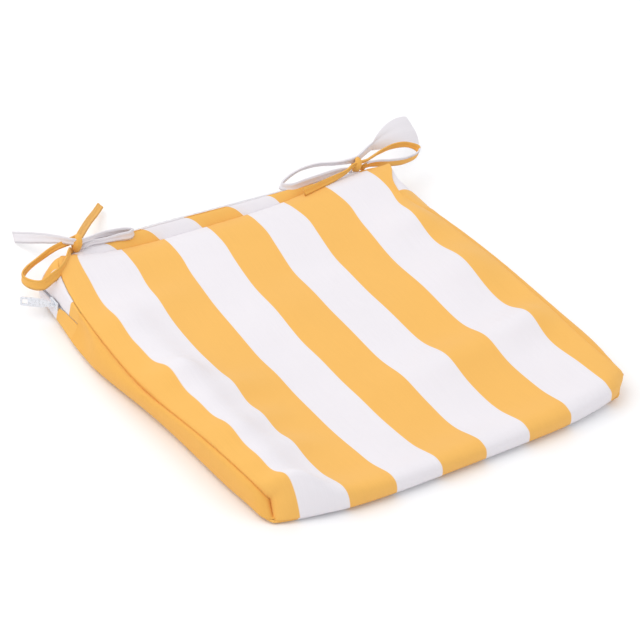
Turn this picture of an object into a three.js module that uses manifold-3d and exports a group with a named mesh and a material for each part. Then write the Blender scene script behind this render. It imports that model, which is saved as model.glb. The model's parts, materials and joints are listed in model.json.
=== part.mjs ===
// Striped tie-on chair seat pad: a foam slab in a zipped boxed cover with two pairs of fabric ties.
// Millimetres, +Z up. Origin: middle of the pad's underside. +X is the sitter's right,
// +Y points to the back of the chair, where the zip and the ties are.

import * as THREE from "three";
import { mergeVertices } from "three/addons/utils/BufferGeometryUtils.js";
import Module from "manifold-3d";

// ---------------------------------------------------------------- driving dimensions
const PAD_WIDTH = 400;
const PAD_DEPTH = 400;
const PAD_HEIGHT = 34;
const BACK_CORNER_RADIUS = 12;
const FRONT_CORNER_RADIUS = 8;
const FABRIC = 0.8;             // cover cloth
const GAP = 0.3;                // between pieces that touch
const SEAM_GAP = 0.3;           // between two panels sewn to each other

const FOAM_CLEARANCE = 5;       // foam to the outside of the cover, on all four sides
const FOAM_SKIN_GAP = 0.4;      // foam to the cloth above and below

const ZIP_RETURN = 82;          // how far the zipped strip runs down each side from the back
const ZIP_SLIT = 3.2;           // between the folded edges of the two strips
const TAPE_WIDTH = 10;
const TAPE_THICKNESS = 0.6;
const COIL_WIDTH = 1.7;
const COIL_THICKNESS = 1.5;
const COIL_SPACING = 2.4;       // clear way between the two coils for the slider's post

const SLIDER_FROM_BACK = 42;    // middle of the slider to the back edge, zip closed
const SLIDER_LENGTH = 13;
const SLIDER_WIDTH = 9;
const SLIDER_PLATE = 1.4;
const SLIDER_RUN_GAP = 0.4;     // slider to the cloth outside and to the coil inside
const POST_WIDTH = 1.6;
const POST_LENGTH = 3;
const LUG_LENGTH = 8;
const LUG_HEIGHT = 3.6;         // how far the lug stands out of the plate
const LUG_BAR = 1.2;
const LUG_WIDTH = 2.4;

const TAB_LENGTH = 29;
const TAB_WIDTH = 9.5;
const TAB_THICKNESS = 1.2;
const TAB_EYE_BAR = 1.4;        // bars round the eye
const TAB_EYE_CLEARANCE = 0.5;  // eye to the furthest corner of the lug
const TAB_WINDOW_LENGTH = 5;
const TAB_WINDOW_WIDTH = 4.5;
const TAB_REST_ANGLE = 39;      // degrees, from straight out towards the back

const TIE_RADIUS = 1.8;         // round stand-in for a flat strap
const TIE_SIDES = 8;
const TIE_END_THICKNESS = 1.6;

// ---------------------------------------------------------------- derived levels and offsets
const HALF_WIDTH = PAD_WIDTH / 2;
const HALF_DEPTH = PAD_DEPTH / 2;
const ZIP_LEVEL = PAD_HEIGHT / 2;
const ZIP_END_Y = HALF_DEPTH - ZIP_RETURN;
const SLIDER_Y = HALF_DEPTH - SLIDER_FROM_BACK;
const WALL_BOTTOM = FABRIC + SEAM_GAP;
const WALL_TOP = PAD_HEIGHT - FABRIC - SEAM_GAP;
const TAPE_INSET = FABRIC + GAP;
const COIL_INNER = TAPE_INSET + COIL_THICKNESS;
const COIL_NEAR = COIL_SPACING / 2;
const COIL_FAR = COIL_NEAR + COIL_WIDTH;
const TAPE_NEAR = COIL_FAR + GAP;

// ---------------------------------------------------------------- materials
const cloth = (color) => new THREE.MeshStandardMaterial({ color, roughness: 0.85, metalness: 0 });
const ORANGE = cloth("#f2b14c");
const WHITE = cloth("#f3eff2");
const FOAM = new THREE.MeshStandardMaterial({ color: "#efe6cf", roughness: 1, metalness: 0 });
const TAPE = cloth("#ececef");
const COIL = new THREE.MeshStandardMaterial({ color: "#c3c6d2", roughness: 0.5, metalness: 0 });
const ENAMEL = new THREE.MeshStandardMaterial({ color: "#dde2ee", roughness: 0.35, metalness: 0.2 });

// ---------------------------------------------------------------- helpers
const wasm = await Module();
wasm.setup();

function toSolid(geometry) {
  const bare = geometry.clone();
  bare.deleteAttribute("normal");
  bare.deleteAttribute("uv");
  const merged = mergeVertices(bare, 1e-4);
  const vertProperties = new Float32Array(merged.attributes.position.array);
  const triVerts = new Uint32Array(merged.index.array);
  return new wasm.Manifold(new wasm.Mesh({ numProp: 3, vertProperties, triVerts }));
}

function toGeometry(solid) {
  const mesh = solid.getMesh();
  const geometry = new THREE.BufferGeometry();
  geometry.setAttribute("position", new THREE.BufferAttribute(new Float32Array(mesh.vertProperties), 3));
  geometry.setIndex(new THREE.BufferAttribute(new Uint32Array(mesh.triVerts), 1));
  geometry.computeVertexNormals();
  return geometry;
}

function named(name, geometry, material) {
  const mesh = new THREE.Mesh(geometry, material);
  mesh.name = name;
  return mesh;
}

// Box given by its lowest and highest corners.
function boxBetween(low, high) {
  const size = high.map((value, i) => value - low[i]);
  const middle = high.map((value, i) => (value + low[i]) / 2);
  return new THREE.BoxGeometry(...size).translate(...middle);
}

// Flat shape in plan, raised from z0 to z1.
function raised(shape, z0, z1) {
  const options = { depth: z1 - z0, bevelEnabled: false, curveSegments: 10 };
  return new THREE.ExtrudeGeometry(shape, options).translate(0, 0, z0);
}

// Plan outline of the pad, moved inwards by inset.
function padOutline(inset) {
  const x = HALF_WIDTH - inset;
  const y = HALF_DEPTH - inset;
  const back = Math.max(BACK_CORNER_RADIUS - inset, 1);
  const front = Math.max(FRONT_CORNER_RADIUS - inset, 1);
  const shape = new THREE.Shape();
  shape.moveTo(-x + front, -y);
  shape.lineTo(x - front, -y);
  shape.absarc(x - front, -y + front, front, -Math.PI / 2, 0, false);
  shape.lineTo(x, y - back);
  shape.absarc(x - back, y - back, back, 0, Math.PI / 2, false);
  shape.lineTo(-x + back, y);
  shape.absarc(-x + back, y - back, back, Math.PI / 2, Math.PI, false);
  shape.lineTo(-x, -y + front);
  shape.absarc(-x + front, -y + front, front, Math.PI, 1.5 * Math.PI, false);
  return shape;
}

// Wall that wraps the back of the pad, its two ends on the sides at yEnd,
// between two insets from the outline.
function backWall(outer, inner, yEnd, z0, z1) {
  const shape = new THREE.Shape();
  const path = (inset, target, reverse) => {
    const x = HALF_WIDTH - inset;
    const y = HALF_DEPTH - inset;
    const r = BACK_CORNER_RADIUS - inset;
    if (!reverse) {
      target.moveTo(x, yEnd);
      target.lineTo(x, y - r);
      target.absarc(x - r, y - r, r, 0, Math.PI / 2, false);
      target.lineTo(-x + r, y);
      target.absarc(-x + r, y - r, r, Math.PI / 2, Math.PI, false);
      target.lineTo(-x, yEnd);
    } else {
      target.lineTo(-x, yEnd);
      target.lineTo(-x, y - r);
      target.absarc(-x + r, y - r, r, Math.PI, Math.PI / 2, true);
      target.lineTo(x - r, y);
      target.absarc(x - r, y - r, r, Math.PI / 2, 0, true);
      target.lineTo(x, yEnd);
    }
  };
  path(outer, shape, false);
  path(inner, shape, true);
  return raised(shape, z0, z1);
}

// Round tube through hand-set points.
function tube(points, radius, sides, steps) {
  const section = new THREE.Shape();
  for (let i = 0; i < sides; i += 1) {
    const angle = (2 * Math.PI * (i + 0.5)) / sides;
    const x = radius * Math.cos(angle);
    const y = radius * Math.sin(angle);
    if (i === 0) section.moveTo(x, y);
    else section.lineTo(x, y);
  }
  section.closePath();
  const curve = new THREE.CatmullRomCurve3(points.map((p) => new THREE.Vector3(...p)), false, "centripetal");
  return new THREE.ExtrudeGeometry(section, { steps, bevelEnabled: false, extrudePath: curve });
}

// ---------------------------------------------------------------- filling
function foamCore() {
  const geometry = raised(padOutline(FOAM_CLEARANCE), FABRIC + FOAM_SKIN_GAP, PAD_HEIGHT - FABRIC - FOAM_SKIN_GAP);
  return named("foam_core", geometry, FOAM);
}

// ---------------------------------------------------------------- cover panels
// The top panel runs over the front edge and down to the bottom panel without a seam.
function topPanel() {
  const sheet = toSolid(raised(padOutline(0), PAD_HEIGHT - FABRIC, PAD_HEIGHT));
  const shell = toSolid(raised(padOutline(0), WALL_BOTTOM, PAD_HEIGHT - FABRIC / 2));
  const hollow = toSolid(raised(padOutline(FABRIC), WALL_BOTTOM - 1, PAD_HEIGHT));
  const front = toSolid(boxBetween(
    [-HALF_WIDTH - 1, -HALF_DEPTH - 1, 0],
    [HALF_WIDTH + 1, -HALF_DEPTH + FRONT_CORNER_RADIUS, PAD_HEIGHT],
  ));
  const drop = shell.subtract(hollow).intersect(front);
  return named("cover_top_panel", toGeometry(sheet.add(drop)), ORANGE);
}

function bottomPanel() {
  return named("cover_bottom_panel", raised(padOutline(0), 0, FABRIC), ORANGE);
}

function sideGusset(name, side) {
  const outer = side * HALF_WIDTH;
  const inner = side * (HALF_WIDTH - FABRIC);
  const low = [Math.min(outer, inner), -HALF_DEPTH + FRONT_CORNER_RADIUS + SEAM_GAP, WALL_BOTTOM];
  const high = [Math.max(outer, inner), ZIP_END_Y - SEAM_GAP, WALL_TOP];
  return named(name, boxBetween(low, high), ORANGE);
}

// ---------------------------------------------------------------- zip
function zipStrips() {
  const slit = ZIP_SLIT / 2;
  return [
    named("zip_strip_upper", backWall(0, FABRIC, ZIP_END_Y, ZIP_LEVEL + slit, WALL_TOP), ORANGE),
    named("zip_strip_lower", backWall(0, FABRIC, ZIP_END_Y, WALL_BOTTOM, ZIP_LEVEL - slit), WHITE),
  ];
}

function zipTapes() {
  const inner = TAPE_INSET + TAPE_THICKNESS;
  const far = TAPE_NEAR + TAPE_WIDTH;
  return [
    named("zip_tape_upper",
      backWall(TAPE_INSET, inner, ZIP_END_Y, ZIP_LEVEL + TAPE_NEAR, ZIP_LEVEL + far), TAPE),
    named("zip_tape_lower",
      backWall(TAPE_INSET, inner, ZIP_END_Y, ZIP_LEVEL - far, ZIP_LEVEL - TAPE_NEAR), TAPE),
  ];
}

function zipCoils() {
  return [
    named("zip_coil_upper",
      backWall(TAPE_INSET, COIL_INNER, ZIP_END_Y, ZIP_LEVEL + COIL_NEAR, ZIP_LEVEL + COIL_FAR), COIL),
    named("zip_coil_lower",
      backWall(TAPE_INSET, COIL_INNER, ZIP_END_Y, ZIP_LEVEL - COIL_FAR, ZIP_LEVEL - COIL_NEAR), COIL),
  ];
}

// Distances n are measured outwards from the cover's left side.
const atSide = (n) => -HALF_WIDTH - n;
const OUTER_PLATE = [SLIDER_RUN_GAP, SLIDER_RUN_GAP + SLIDER_PLATE];
const INNER_PLATE = [-COIL_INNER - SLIDER_RUN_GAP - SLIDER_PLATE, -COIL_INNER - SLIDER_RUN_GAP];
const LUG_TOP = OUTER_PLATE[1] + LUG_HEIGHT;
const PIVOT_N = LUG_TOP - LUG_BAR - (LUG_HEIGHT - LUG_BAR) / 2;

function sliderPlate([n0, n1], length, width) {
  return toSolid(boxBetween(
    [atSide(n1), SLIDER_Y - length / 2, ZIP_LEVEL - width / 2],
    [atSide(n0), SLIDER_Y + length / 2, ZIP_LEVEL + width / 2],
  ));
}

function sliderBody() {
  const nose = SLIDER_Y - SLIDER_LENGTH / 2;
  const post = toSolid(boxBetween(
    [atSide(OUTER_PLATE[0] + 0.2), nose, ZIP_LEVEL - POST_WIDTH / 2],
    [atSide(INNER_PLATE[1] - 0.2), nose + POST_LENGTH, ZIP_LEVEL + POST_WIDTH / 2],
  ));
  const lug = toSolid(boxBetween(
    [atSide(LUG_TOP), SLIDER_Y - LUG_LENGTH / 2, ZIP_LEVEL - LUG_WIDTH / 2],
    [atSide(OUTER_PLATE[1] - 0.2), SLIDER_Y + LUG_LENGTH / 2, ZIP_LEVEL + LUG_WIDTH / 2],
  ));
  const eye = toSolid(boxBetween(
    [atSide(LUG_TOP - LUG_BAR), SLIDER_Y - LUG_LENGTH / 2 + LUG_BAR, ZIP_LEVEL - LUG_WIDTH],
    [atSide(OUTER_PLATE[1]), SLIDER_Y + LUG_LENGTH / 2 - LUG_BAR, ZIP_LEVEL + LUG_WIDTH],
  ));
  const body = sliderPlate(OUTER_PLATE, SLIDER_LENGTH, SLIDER_WIDTH)
    .add(sliderPlate(INNER_PLATE, SLIDER_LENGTH, SLIDER_WIDTH))
    .add(post)
    .add(lug.subtract(eye));
  return named("slider_body", toGeometry(body), ENAMEL);
}

// The tab is drawn pointing along -X from its pivot and then swung round it. The bar at its
// end lies in the lug's window, and its eye clears the lug at every angle.
function pullTab() {
  const bar = TAB_THICKNESS / 2;
  const lugReach = Math.hypot(LUG_LENGTH / 2, LUG_TOP - PIVOT_N);
  const eyeEnd = lugReach + TAB_EYE_CLEARANCE;
  const eyeHalf = LUG_WIDTH / 2 + GAP;
  const windowStart = -TAB_LENGTH + TAB_EYE_BAR;
  const plate = toSolid(boxBetween(
    [-TAB_LENGTH, -bar, -TAB_WIDTH / 2],
    [-eyeEnd, bar, TAB_WIDTH / 2],
  ));
  const eyeFrame = toSolid(boxBetween(
    [-eyeEnd - TAB_EYE_BAR, -bar, -eyeHalf - TAB_EYE_BAR],
    [bar, bar, eyeHalf + TAB_EYE_BAR],
  ));
  const eyeHole = toSolid(boxBetween([-eyeEnd, -2 * bar, -eyeHalf], [-bar, 2 * bar, eyeHalf]));
  const gripHole = toSolid(boxBetween(
    [windowStart, -2 * bar, -TAB_WINDOW_WIDTH / 2],
    [windowStart + TAB_WINDOW_LENGTH, 2 * bar, TAB_WINDOW_WIDTH / 2],
  ));
  const tab = named("pull_tab", toGeometry(plate.add(eyeFrame).subtract(eyeHole).subtract(gripHole)), ENAMEL);
  const hinge = new THREE.Group();
  hinge.position.set(atSide(PIVOT_N), SLIDER_Y, ZIP_LEVEL);
  hinge.rotation.z = -THREE.MathUtils.degToRad(TAB_REST_ANGLE);
  hinge.add(tab);
  return hinge;
}

// ---------------------------------------------------------------- ties
// Each tie leaves the back seam under its knot, makes one loop, goes back through the knot
// and ends in a tail that falls behind the pad or lies on it. Points are measured from the
// pad's back corner on the tie's side, at the level of the underside.
const TIES = {
  left_tie_orange: [
    [42, 3, 32], [40, 2, 37], [36, -4, 39.5], [27, -16, 40], [14, -28, 40],
    [1, -33, 38.5], [-8, -32, 33.5], [-15, -22, 31], [-15, -8, 29.5], [-6, 1, 30],
    [11, 8, 32.5], [28, 10, 38], [42, 7, 43], [52, 8, 44], [58, 14, 42.5],
    [71, 30, 35.5], [92.5, 56, 24], [113, 79, 14], [130, 98, 7],
  ],
  left_tie_white: [
    [52, 3, 32], [54, 2, 37], [62, 2, 38.5], [74, 1, 38], [90, 0, 37.5],
    [103, -1, 37], [108, 2.5, 37], [101, 6, 38], [87, 7, 39.5], [73, 5.5, 41.5],
    [56, 2, 43.5], [48, 1.5, 44], [41, 2.5, 46], [37, 7, 46], [35, 15, 43],
    [33, 28, 37], [31, 47, 27.5], [29, 68, 16.5], [28, 86, 7],
  ],
  right_tie_orange: [
    [-25, 3, 32], [-23, 2, 36], [-16, 2, 37], [-6, 2, 35.5], [9, 1, 32.5],
    [28, 0, 30.5], [46, 3, 31.5], [52, 10, 33], [44, 18, 35.5], [28, 20, 37],
    [8, 15, 38.5], [-8, 8, 40.5], [-20, 2.5, 42], [-31, 1.5, 42.5], [-40, -0.5, 42],
    [-49, -3.5, 40], [-61, -5.5, 38.5], [-80, -8, 37], [-106, -12.5, 36.5],
  ],
  right_tie_white: [
    [-38, 3, 32], [-40, 2, 36], [-48, 3, 37.5], [-67, 3.5, 37], [-93, 3.5, 35.5],
    [-110, 4, 34.5], [-117, 11, 34], [-103, 21, 34], [-83, 26, 36], [-66, 22, 39],
    [-50, 13, 41], [-39, 8, 43], [-29, 7.5, 43.5], [-20, 11, 44], [-8, 18, 43],
    [5, 26.5, 39.5],
  ],
};
const TIE_STEPS = 60;

function ties() {
  return Object.entries(TIES).map(([name, points]) => {
    const colour = name.endsWith("orange") ? ORANGE : WHITE;
    const tie = named(name, tube(points, TIE_RADIUS, TIE_SIDES, TIE_STEPS), colour);
    tie.position.set(name.startsWith("left") ? -HALF_WIDTH : HALF_WIDTH, HALF_DEPTH, 0);
    return tie;
  });
}

// The last stretch of the right white tie has come unfolded: it widens from the strap to a cut
// edge that stands on its lower corner behind the pad.
const OPEN_END_START = new THREE.Vector3(...TIES.right_tie_white.at(-1));
const OPEN_END_UPPER_CORNER = new THREE.Vector3(84, 72, 31);
const OPEN_END_LOWER_CORNER = new THREE.Vector3(89, 51, 3.5);
const OPEN_END_START_WIDTH = 8;
const OPEN_END_JOINT = 0.5;     // from the strap's end to the flap

function openTieEnd() {
  const middle = OPEN_END_UPPER_CORNER.clone().add(OPEN_END_LOWER_CORNER).multiplyScalar(0.5);
  const edge = OPEN_END_UPPER_CORNER.clone().sub(OPEN_END_LOWER_CORNER);
  const along = middle.clone().sub(OPEN_END_START).normalize();
  const through = along.clone().cross(edge).normalize();
  const across = through.clone().cross(along);
  const inFlap = (point) => {
    const offset = point.clone().sub(OPEN_END_START);
    return [offset.dot(along), offset.dot(across)];
  };
  const flap = new THREE.Shape();
  flap.moveTo(OPEN_END_JOINT, -OPEN_END_START_WIDTH / 2);
  flap.lineTo(...inFlap(OPEN_END_LOWER_CORNER));
  flap.lineTo(...inFlap(OPEN_END_UPPER_CORNER));
  flap.lineTo(OPEN_END_JOINT, OPEN_END_START_WIDTH / 2);
  flap.closePath();
  const geometry = new THREE.ExtrudeGeometry(flap, { depth: TIE_END_THICKNESS, bevelEnabled: false });
  geometry.translate(0, 0, -TIE_END_THICKNESS / 2);
  const turn = new THREE.Matrix4().makeBasis(along, across, through).setPosition(OPEN_END_START);
  const flapMesh = named("right_tie_open_end", geometry.applyMatrix4(turn), WHITE);
  flapMesh.position.set(HALF_WIDTH, HALF_DEPTH, 0);
  return flapMesh;
}

// ---------------------------------------------------------------- assembly
const seatPad = new THREE.Group();
seatPad.add(foamCore(), topPanel(), bottomPanel());
seatPad.add(sideGusset("left_side_gusset", -1), sideGusset("right_side_gusset", 1));
seatPad.add(...zipStrips(), ...zipTapes(), ...zipCoils());
seatPad.add(sliderBody(), pullTab());
seatPad.add(...ties(), openTieEnd());

export default seatPad;
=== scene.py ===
"""Tie-on chair seat pad: a striped boxed cover with a zip round its back, plain gussets, and two bows."""
import json
import logging
import math
from dataclasses import dataclass, field
from enum import Enum
from typing import Callable, Sequence

import bmesh
import bpy
from mathutils import Matrix, Vector

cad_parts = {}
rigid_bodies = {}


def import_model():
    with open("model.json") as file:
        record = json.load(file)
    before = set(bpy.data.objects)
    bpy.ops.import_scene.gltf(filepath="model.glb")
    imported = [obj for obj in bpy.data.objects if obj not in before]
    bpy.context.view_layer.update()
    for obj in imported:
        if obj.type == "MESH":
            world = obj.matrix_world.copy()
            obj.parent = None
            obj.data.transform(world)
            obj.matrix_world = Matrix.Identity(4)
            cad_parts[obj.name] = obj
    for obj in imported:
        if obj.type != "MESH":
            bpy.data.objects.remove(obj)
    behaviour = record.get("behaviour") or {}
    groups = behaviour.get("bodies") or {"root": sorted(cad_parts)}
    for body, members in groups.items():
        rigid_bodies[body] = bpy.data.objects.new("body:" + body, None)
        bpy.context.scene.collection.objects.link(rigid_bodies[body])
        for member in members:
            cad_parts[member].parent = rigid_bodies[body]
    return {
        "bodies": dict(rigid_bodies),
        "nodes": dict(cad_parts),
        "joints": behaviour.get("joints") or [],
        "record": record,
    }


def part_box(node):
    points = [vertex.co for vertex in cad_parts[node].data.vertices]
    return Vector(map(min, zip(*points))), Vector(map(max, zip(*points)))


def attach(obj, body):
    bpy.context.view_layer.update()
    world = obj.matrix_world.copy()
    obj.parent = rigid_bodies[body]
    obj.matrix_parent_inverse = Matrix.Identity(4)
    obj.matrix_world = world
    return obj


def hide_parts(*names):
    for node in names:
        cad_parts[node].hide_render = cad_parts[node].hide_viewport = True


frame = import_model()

LOG = logging.getLogger("seat_pad")
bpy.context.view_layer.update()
STRIPE = 0.04776          # width of one woven stripe
FIRST_STRIPE = -0.1793    # where the left border stripe ends
HALF = 0.200              # half of the pad's width and depth
ZIP_LEVEL = 0.017         # how high the zip runs on the boxing
ZIP_SLIT = 0.0032         # opening between the two strips where the zip shows
ZIP_CLOSED_END = 0.118    # where the zip stops on each side
SIDE_RUN = HALF - ZIP_CLOSED_END       # zip on one side of the pad
ZIP_RUN = 2 * SIDE_RUN + 2 * HALF      # the whole zip
BOXING = 0.034            # height of the boxing when it lies flat
CLOTH_THICKNESS = 0.0008
PRINTED_EDGE = 0.010      # softness of a stripe's edge, as part of a stripe
TINY = 1e-9
Placed = tuple[Vector, tuple[float, float]]
Socket = bpy.types.NodeSocket
Piece = bpy.types.Object
Material = bpy.types.Material
Mesh = bmesh.types.BMesh


class Side(Enum):
    """The two sides of the pad."""

    LEFT = -1
    RIGHT = 1


class Cloth(Enum):
    """The cloths the pad is sewn from, by the record's slot."""

    STRIPED = "striped_cloth"
    ORANGE = "orange_cloth"
    WHITE = "white_cloth"


# ---------------------------------------------------------------- small helpers

def ease(t: float) -> float:
    """Smooth step from 0 to 1."""
    t = min(1.0, max(0.0, t))
    return t * t * (3 - 2 * t)


def swell(t: float) -> float:
    """A soft hump, 1 in the middle and dying away by about 2."""
    return math.exp(-t * t)


def knots(value: float, at: Sequence[float], heights: Sequence[float]) -> float:
    """Eased interpolation through a few knots.

    Args:
        value: where to read.
        at: the knots' places, rising.
        heights: the value at each knot.

    Returns:
        The interpolated value.
    """
    if value <= at[0]:
        return heights[0]
    for a, b, p, q in zip(at, at[1:], heights, heights[1:]):
        if value <= b:
            return p + (q - p) * (0.5 - 0.5 * math.cos(math.pi * (value - a) / (b - a)))
    return heights[-1]


def smooth_route(points: Sequence[Vector], spacing: float) -> list[Vector]:
    """A centripetal Catmull-Rom line through points, sampled evenly.

    Args:
        points: the points it passes, in metres.
        spacing: the wanted distance between samples.

    Returns:
        The samples, ends included.
    """
    first = points[0] * 2 - points[1]
    last = points[-1] * 2 - points[-2]
    run = [first, *points, last]
    fine: list[Vector] = [points[0].copy()]
    for p0, p1, p2, p3 in zip(run, run[1:], run[2:], run[3:]):
        t0 = 0.0
        t1 = t0 + max(1e-6, (p1 - p0).length) ** 0.5
        t2 = t1 + max(1e-6, (p2 - p1).length) ** 0.5
        t3 = t2 + max(1e-6, (p3 - p2).length) ** 0.5
        for i in range(1, 13):
            t = t1 + (t2 - t1) * i / 12
            a1 = p0 * ((t1 - t) / (t1 - t0)) + p1 * ((t - t0) / (t1 - t0))
            a2 = p1 * ((t2 - t) / (t2 - t1)) + p2 * ((t - t1) / (t2 - t1))
            a3 = p2 * ((t3 - t) / (t3 - t2)) + p3 * ((t - t2) / (t3 - t2))
            b1 = a1 * ((t2 - t) / (t2 - t0)) + a2 * ((t - t0) / (t2 - t0))
            b2 = a2 * ((t3 - t) / (t3 - t1)) + a3 * ((t - t1) / (t3 - t1))
            fine.append(b1 * ((t2 - t) / (t2 - t1)) + b2 * ((t - t1) / (t2 - t1)))
    total = sum((b - a).length for a, b in zip(fine, fine[1:]))
    count = max(2, round(total / spacing))
    out, walked, want = [fine[0].copy()], 0.0, total / count
    for a, b in zip(fine, fine[1:]):
        step = (b - a).length
        while step > 1e-9 and walked + step >= want - 1e-9 and len(out) < count:
            out.append(a.lerp(b, (want - walked) / step))
            want += total / count
        walked += step
    out.append(fine[-1].copy())
    return out


def route_length(line: Sequence[Vector]) -> float:
    """The length of a line of points."""
    return sum((b - a).length for a, b in zip(line, line[1:]))


def in_scene(name: str, data: bpy.types.ID) -> Piece:
    """A new object, linked to the scene."""
    made = bpy.data.objects.new(name, data)
    bpy.context.scene.collection.objects.link(made)
    return made


def finished(name: str, bm: Mesh, body: str, smooth: bool = True) -> Piece:
    """Turns a bmesh into a named piece that rides a body.

    Args:
        name: the piece's name.
        bm: its mesh, which is freed.
        body: the CAD body it rides.
        smooth: whether its faces are smooth shaded.

    Returns:
        The new object, at the origin.
    """
    mesh = bpy.data.meshes.new(name)
    for face in bm.faces:
        face.smooth = smooth
    bm.to_mesh(mesh)
    bm.free()
    piece = in_scene(name, mesh)
    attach(piece, body)
    return piece


def face_outwards(bm: Mesh) -> None:
    """Turns every face of a closed mesh to point out."""
    bmesh.ops.recalc_face_normals(bm, faces=bm.faces)


def new_corners(geom: Sequence[object]) -> list[bmesh.types.BMVert]:
    """The vertices among an operator's new geometry."""
    return [g for g in geom if isinstance(g, bmesh.types.BMVert)]


def sweep(
    bm: Mesh, frames: Sequence[Matrix],
) -> tuple[list[list[bmesh.types.BMVert]], list[bmesh.types.BMEdge]]:
    """Extrudes one ring through a row of frames.

    Args:
        bm: holds the ring, which stands in the first frame.
        frames: the frames to pass, the first one included.

    Returns:
        The vertices of each new ring, and the edges of the last one.
    """
    rings, edges = [], list(bm.edges)
    for last, now in zip(frames, frames[1:]):
        made = bmesh.ops.extrude_edge_only(bm, edges=edges)["geom"]
        verts = new_corners(made)
        edges = [g for g in made if isinstance(g, bmesh.types.BMEdge) and all(v in verts for v in g.verts)]
        bmesh.ops.transform(bm, matrix=now @ last.inverted(), verts=verts)
        rings.append(verts)
    return rings, edges


def zip_edge(s: float) -> tuple[float, float]:
    """The pad's edge place beside the zip.

    Args:
        s: run of zip from its closed end on the left, round the back.

    Returns:
        The places across and along.
    """
    if s <= SIDE_RUN:
        return -HALF, ZIP_CLOSED_END + s
    if s <= SIDE_RUN + 2 * HALF:
        return s - SIDE_RUN - HALF, HALF
    return HALF, HALF - (s - SIDE_RUN - 2 * HALF)


def even_grid(count: int, snug: Sequence[float], length: float, both: bool = True) -> list[float]:
    """Places of grid lines, close together by the seams.

    Args:
        count: the number of gaps.
        snug: distances of the close lines from an edge, rising.
        length: the whole length.
        both: whether the far edge has close lines too.

    Returns:
        count + 1 places from 0 to length.
    """
    near = list(snug)
    far = [length - s for s in reversed(snug)] if both else []
    inner = count - len(near) - len(far)
    a = near[-1] if near else 0.0
    b = far[0] if far else length
    body = [a + (b - a) * i / inner for i in range(1, inner)] if inner > 1 else []
    line = [0.0, *near, *body, *far, length]
    while len(line) < count + 1:
        line.insert(-1, (line[-2] + line[-1]) / 2)
    return line[: count + 1]


def cloth_panel(
    name: str, across: Sequence[float], along: Sequence[float],
    place: Callable[[float, float], Placed], flip: bool = False,
) -> Piece:
    """A sheet of cloth laid out by a place function, with its own weave map.

    Args:
        name: the piece's name.
        across: grid places over the first way.
        along: grid places over the second way.
        place: gives the point and the weave map's place for two grid places.
        flip: turns the faces over.

    Returns:
        The panel.
    """
    nx, ny = len(across) - 1, len(along) - 1
    bm = bmesh.new()
    bmesh.ops.create_grid(bm, x_segments=nx, y_segments=ny, size=1.0)
    weave = bm.loops.layers.uv.new("weave")
    spots: dict[int, tuple[float, float]] = {}
    bm.verts.ensure_lookup_table()
    for vert in bm.verts:
        i = round((vert.co.x + 1) / 2 * nx)
        j = round((vert.co.y + 1) / 2 * ny)
        point, spot = place(across[i], along[j])
        vert.co = point
        spots[vert.index] = spot
    for face in bm.faces:
        for loop in face.loops:
            loop[weave].uv = spots[loop.vert.index]
    if flip:
        bmesh.ops.reverse_faces(bm, faces=bm.faces)
    return finished(name, bm, "pad")


def add_wall(piece: Piece, thickness: float, levels: int = 1, offset: float = -1.0) -> None:
    """Gives a sheet its cloth thickness and a finer surface.

    Args:
        piece: the sheet.
        thickness: in metres.
        levels: subdivision levels, the same in view and render.
        offset: which side the wall grows to.
    """
    wall = piece.modifiers.new("cloth thickness", "SOLIDIFY")
    wall.thickness = thickness
    wall.offset = offset
    wall.use_even_offset = False
    if levels:
        fine = piece.modifiers.new("fine surface", "SUBSURF")
        fine.levels = fine.render_levels = levels
        fine.boundary_smooth = "PRESERVE_CORNERS"


# ---------------------------------------------------------------- finishes

@dataclass
class NodeBoard:
    """A new material, whose nodes are added by short calls."""

    name: str

    def __post_init__(self) -> None:
        """Makes the material with its shader."""
        self.material = bpy.data.materials.new(self.name)
        self.material.use_nodes = True
        self.tree = self.material.node_tree

    def fill(self, node: bpy.types.Node, values: dict[str | int, object]) -> None:
        """Sets a node's inputs.

        Args:
            node: the node.
            values: a constant or a socket to link, by the input's name or number.
        """
        for key, value in values.items():
            if isinstance(value, Socket):
                self.tree.links.new(value, node.inputs[key])
            else:
                node.inputs[key].default_value = value

    def add(self, kind: str, values: dict[str | int, object], **settings: str) -> bpy.types.NodeOutputs:
        """Adds a shader node.

        Args:
            kind: its type, without the word ShaderNode.
            values: its inputs, as in fill.
            settings: its other settings, such as its operation.

        Returns:
            Its outputs.
        """
        node = self.tree.nodes.new("ShaderNode" + kind)
        for key, value in settings.items():
            setattr(node, key, value)
        self.fill(node, values)
        return node.outputs

    def finish(self, values: dict[str | int, object]) -> Material:
        """Fills the shader and gives the material."""
        self.fill(self.tree.nodes["Principled BSDF"], values)
        return self.material


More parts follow.
